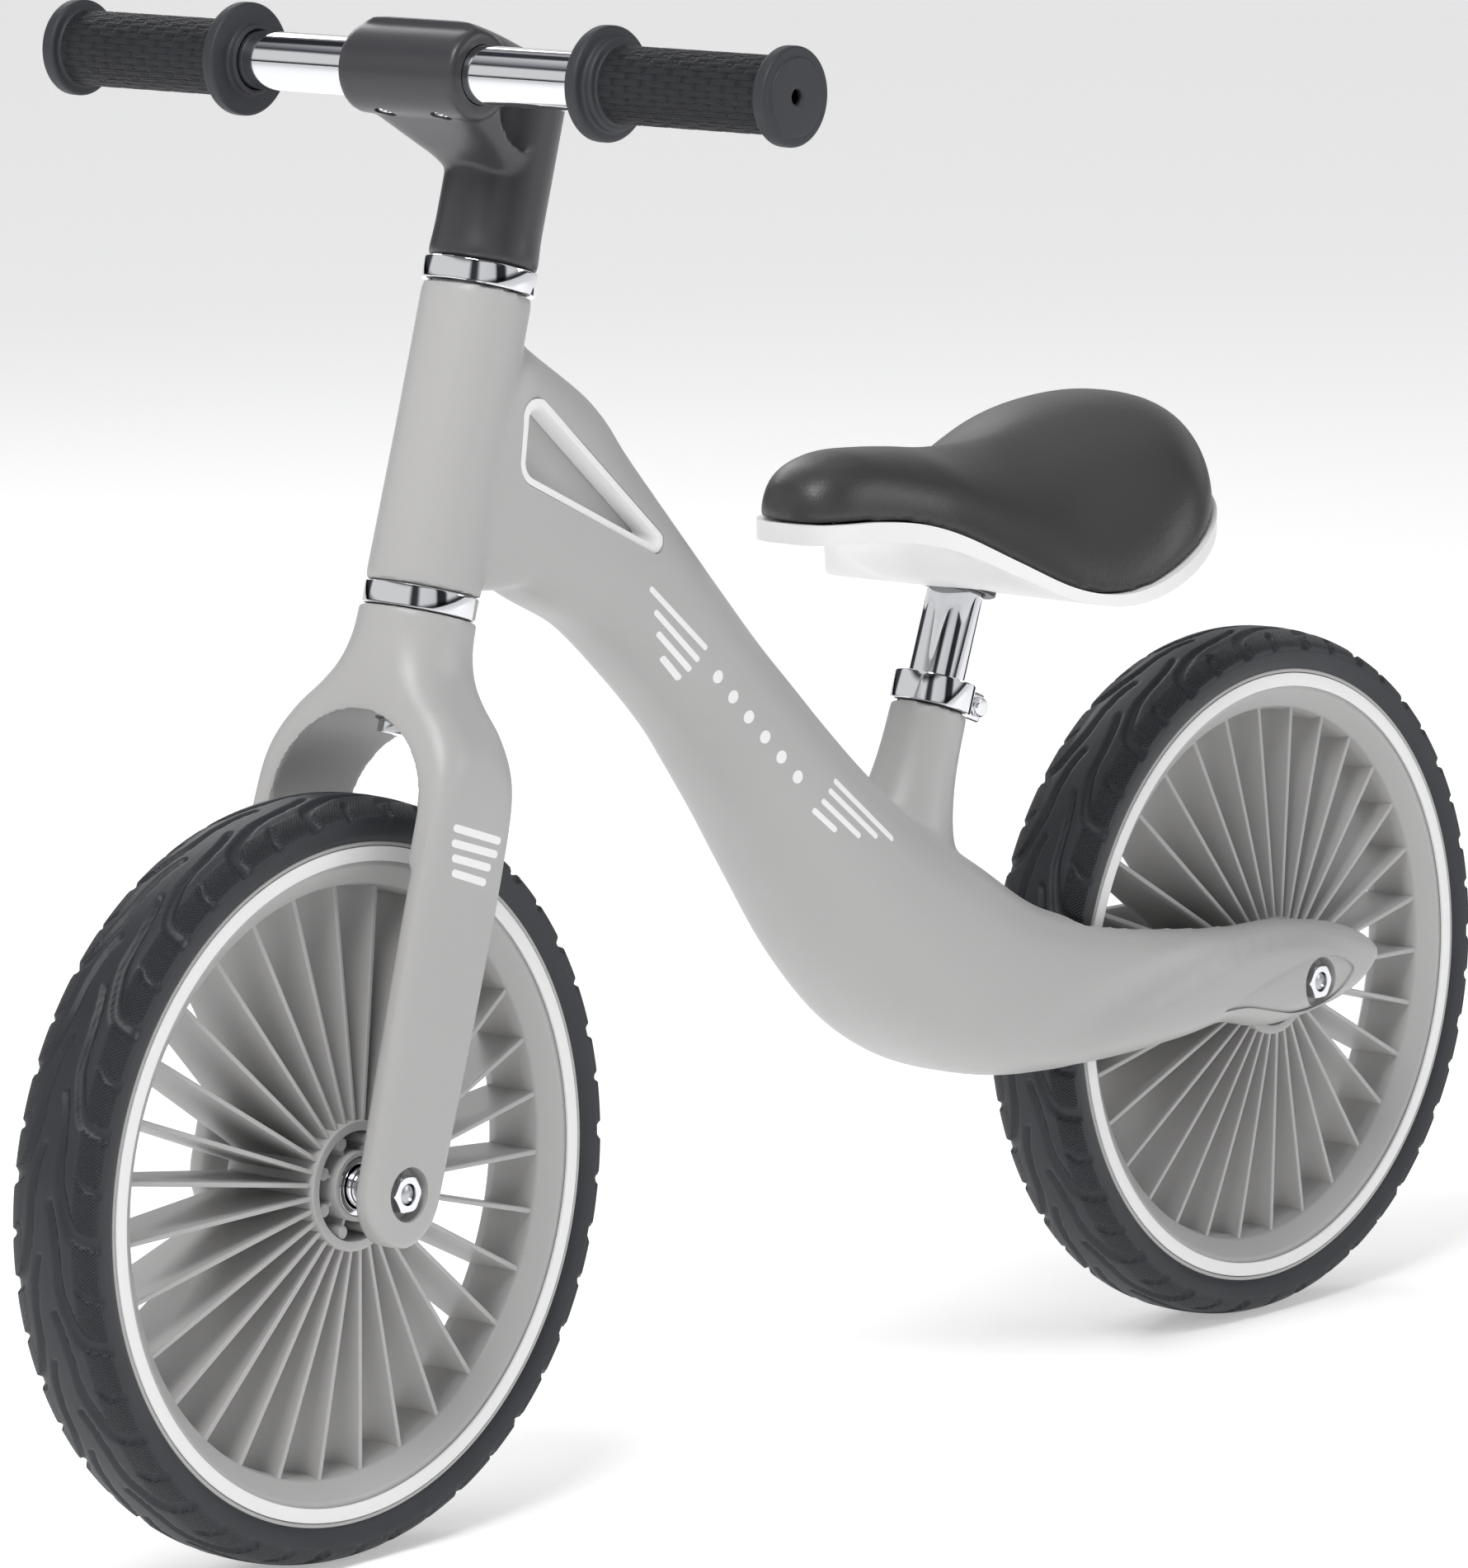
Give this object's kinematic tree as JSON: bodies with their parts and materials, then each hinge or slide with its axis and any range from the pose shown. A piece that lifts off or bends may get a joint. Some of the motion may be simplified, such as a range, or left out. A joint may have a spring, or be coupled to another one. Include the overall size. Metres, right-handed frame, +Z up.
{
  "type": "balance bike",
  "caption": "Child's pedal-less bicycle with a moulded frame, bladed wheels, foam tyres, a turning fork and bar, and a padded saddle on a sliding post.",
  "frame": {"origin": "on the ground, halfway between the wheel axles, in the middle plane", "axes": "+X towards the rear wheel, +Y to the rider's right, +Z up"},
  "size_m": [0.86, 0.3624, 0.5766],
  "materials": {
    "grey_nylon": "moulded glass-filled nylon, satin",
    "white_plastic": "moulded, satin",
    "stem_nylon": "moulded, satin",
    "grip_rubber": "moulded with a basket pattern",
    "tyre_foam": "solid foam with a moulded tread",
    "saddle_skin": "fine-grained polyurethane skin on foam",
    "chrome": "polished chrome plate",
    "zinc_steel": "zinc plated",
    "black_plastic": "moulded"
  },
  "bodies": {
    "frame": {"frame": "grey_nylon", "window_trim_left": "white_plastic", "window_trim_right": "white_plastic", "head_cup_lower": "chrome", "head_cup_upper": "chrome", "headset_bearing_lower": "zinc_steel", "headset_bearing_upper": "zinc_steel", "seat_clamp": "chrome", "seat_clamp_bolt": "chrome", "seat_clamp_nut": "chrome", "seat_tube_sleeve": "black_plastic", "rear_axle": "zinc_steel", "rear_cone_left": "chrome", "rear_cone_right": "chrome", "rear_locknut_left": "zinc_steel", "rear_locknut_right": "zinc_steel", "rear_nut_left": "chrome", "rear_nut_right": "chrome"},
    "steering": {"fork": "grey_nylon", "steerer_tube": "zinc_steel", "steerer_bolt": "chrome", "stem_nut": "zinc_steel", "stem": "stem_nylon", "handlebar": "chrome", "grip_left": "grip_rubber", "grip_right": "grip_rubber", "stem_screw_left": "chrome", "stem_screw_right": "chrome", "front_axle": "zinc_steel", "front_cone_left": "chrome", "front_cone_right": "chrome", "front_locknut_left": "zinc_steel", "front_locknut_right": "zinc_steel", "front_nut_left": "chrome", "front_nut_right": "chrome"},
    "front_wheel": {"front_tyre": "tyre_foam", "front_rim": "grey_nylon", "front_trim_left": "white_plastic", "front_trim_right": "white_plastic", "front_bearing_left": "chrome", "front_bearing_right": "chrome"},
    "rear_wheel": {"rear_tyre": "tyre_foam", "rear_rim": "grey_nylon", "rear_trim_left": "white_plastic", "rear_trim_right": "white_plastic", "rear_bearing_left": "chrome", "rear_bearing_right": "chrome"},
    "seat": {"seat_post": "chrome", "seat_post_collar": "black_plastic", "saddle_base": "white_plastic", "saddle_pad": "saddle_skin", "saddle_bolt": "zinc_steel"}
  },
  "joints": [
    {"name": "steer", "type": "hinge", "parent": "frame", "child": "steering", "pos_m": [-0.285, 0, 0.145], "axis": [0.279, 0, 0.9603], "continuous": true},
    {"name": "front_wheel_spin", "type": "hinge", "parent": "steering", "child": "front_wheel", "pos_m": [-0.285, 0, 0.145], "axis": [0, 1, 0], "continuous": true},
    {"name": "rear_wheel_spin", "type": "hinge", "parent": "frame", "child": "rear_wheel", "pos_m": [0.285, 0, 0.145], "axis": [0, 1, 0], "continuous": true},
    {"name": "seat_height", "type": "slide", "parent": "frame", "child": "seat", "axis": [0.3486, 0, 0.9373], "range_m": [-0.03, 0.045]}
  ]
}
